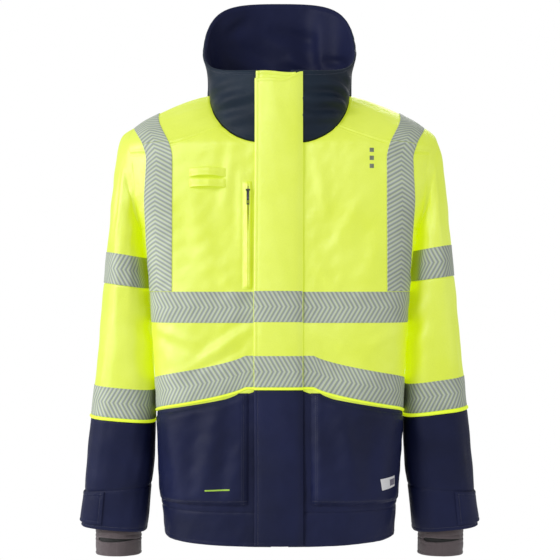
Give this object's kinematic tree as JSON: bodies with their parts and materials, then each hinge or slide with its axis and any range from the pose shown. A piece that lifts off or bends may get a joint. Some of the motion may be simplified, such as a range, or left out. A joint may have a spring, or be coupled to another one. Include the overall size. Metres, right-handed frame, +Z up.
{
  "type": "foul weather jacket",
  "caption": "High-visibility foul weather jacket with storm collar, storm flap over a full zip, reflective tapes, cargo pockets and knitted inner cuffs.",
  "frame": {"origin": "centre of the hem opening, in the plane of the side seams and at the height of the hem's sides", "axes": "+X to the wearer's left, -Y out of the front, +Z up towards the collar"},
  "size_m": [0.6782, 0.3076, 0.954],
  "materials": {
    "shell_yellow": "fluorescent yellow woven polyester with a water repellent face",
    "shell_navy": "navy woven polyester with a water repellent face",
    "reflective_tape": "segmented silver heat-applied tape",
    "piping": "fluorescent yellow piping",
    "lining": "navy taffeta",
    "knit": "grey rib knit",
    "zip_parts": "dark moulded zip parts",
    "hook_and_loop": "navy hook and loop tape",
    "label": "white woven label, blank",
    "webbing": "navy narrow weave"
  },
  "bodies": {
    "torso": {"right_front_panel": "shell_yellow", "left_front_panel": "shell_yellow", "back_panel": "shell_yellow", "right_yoke": "shell_yellow", "left_yoke": "shell_yellow", "right_lower_front": "shell_navy", "left_lower_front": "shell_navy", "back_lower_panel": "shell_navy", "hem_band": "shell_navy", "collar_outer": "shell_navy", "collar_lining": "lining", "body_lining": "lining", "inner_flap": "shell_yellow", "zip_tapes": "webbing", "zip_teeth": "zip_parts", "zip_stops": "zip_parts", "loop_patches": "hook_and_loop", "chest_tape_front": "reflective_tape", "chest_tape_back": "reflective_tape", "waist_tape_front": "reflective_tape", "waist_tape_back": "reflective_tape", "right_brace_tape": "reflective_tape", "left_brace_tape": "reflective_tape", "body_piping": "piping", "right_cargo_pocket": "shell_navy", "left_cargo_pocket": "shell_navy", "chest_pocket_zip": "zip_parts", "chest_pocket_bag": "lining", "mic_loops": "shell_yellow", "side_label": "label", "hang_loop": "webbing"},
    "main_zip_slider": {"main_zip_slider": "zip_parts", "main_zip_puller": "webbing"},
    "chest_zip_slider": {"chest_zip_slider": "zip_parts"},
    "chest_zip_puller": {"chest_zip_puller": "zip_parts"},
    "storm_flap": {"storm_flap": "shell_yellow", "storm_flap_lower": "shell_navy", "flap_tapes": "reflective_tape", "flap_piping": "piping", "flap_hook_patches": "hook_and_loop"},
    "right_upper_arm": {"right_upper_sleeve": "shell_yellow", "right_upper_sleeve_tape": "reflective_tape", "right_mid_sleeve": "shell_yellow"},
    "left_upper_arm": {"left_upper_sleeve": "shell_yellow", "left_upper_sleeve_tape": "reflective_tape", "left_mid_sleeve": "shell_yellow"},
    "right_forearm": {"right_lower_sleeve_tape": "reflective_tape", "right_sleeve_piping": "piping", "right_lower_sleeve": "shell_navy", "right_cuff": "shell_navy", "right_inner_cuff": "knit"},
    "left_forearm": {"left_lower_sleeve_tape": "reflective_tape", "left_sleeve_piping": "piping", "left_lower_sleeve": "shell_navy", "left_cuff": "shell_navy", "left_inner_cuff": "knit"},
    "right_cuff_tab": {"right_cuff_tab": "shell_navy"},
    "left_cuff_tab": {"left_cuff_tab": "shell_navy"}
  },
  "joints": [
    {"name": "storm_flap_open", "type": "hinge", "parent": "torso", "child": "storm_flap", "pos_m": [0.039, -0.13542, 0.40003], "axis": [0, 0.0508, 0.9987], "range_deg": [0, 150]},
    {"name": "main_zip_slide", "type": "slide", "parent": "torso", "child": "main_zip_slider", "axis": [0, -0.0508, -0.9987], "range_m": [0, 0.69]},
    {"name": "chest_zip_slide", "type": "slide", "parent": "torso", "child": "chest_zip_slider", "axis": [0, -0.0508, -0.9987], "range_m": [0, 0.145]},
    {"name": "chest_puller_flip", "type": "hinge", "parent": "chest_zip_slider", "child": "chest_zip_puller", "pos_m": [-0.051, -0.12249, 0.5726], "axis": [-1, 0, 0], "range_deg": [0, 150]},
    {"name": "right_shoulder_raise", "type": "hinge", "parent": "torso", "child": "right_upper_arm", "pos_m": [-0.26, 0, 0.507], "axis": [0, 1, 0], "range_deg": [0, 45], "deforming": ["right_upper_sleeve"]},
    {"name": "left_shoulder_raise", "type": "hinge", "parent": "torso", "child": "left_upper_arm", "pos_m": [0.26, 0, 0.507], "axis": [0, -1, 0], "range_deg": [0, 45], "deforming": ["left_upper_sleeve"]},
    {"name": "right_elbow_bend", "type": "hinge", "parent": "right_upper_arm", "child": "right_forearm", "pos_m": [-0.262, 0, 0.33], "axis": [-1, 0, 0], "range_deg": [0, 55], "deforming": ["right_mid_sleeve"]},
    {"name": "left_elbow_bend", "type": "hinge", "parent": "left_upper_arm", "child": "left_forearm", "pos_m": [0.262, 0, 0.33], "axis": [-1, 0, 0], "range_deg": [0, 55], "deforming": ["left_mid_sleeve"]},
    {"name": "right_cuff_tab_peel", "type": "hinge", "parent": "right_forearm", "child": "right_cuff_tab", "pos_m": [-0.29284, -0.07827, 0.01753], "axis": [0.0975, -0.0168, 0.9951], "range_deg": [0, 75]},
    {"name": "left_cuff_tab_peel", "type": "hinge", "parent": "left_forearm", "child": "left_cuff_tab", "pos_m": [0.29284, -0.07827, 0.01753], "axis": [0.0975, 0.0168, -0.9951], "range_deg": [0, 75]}
  ]
}
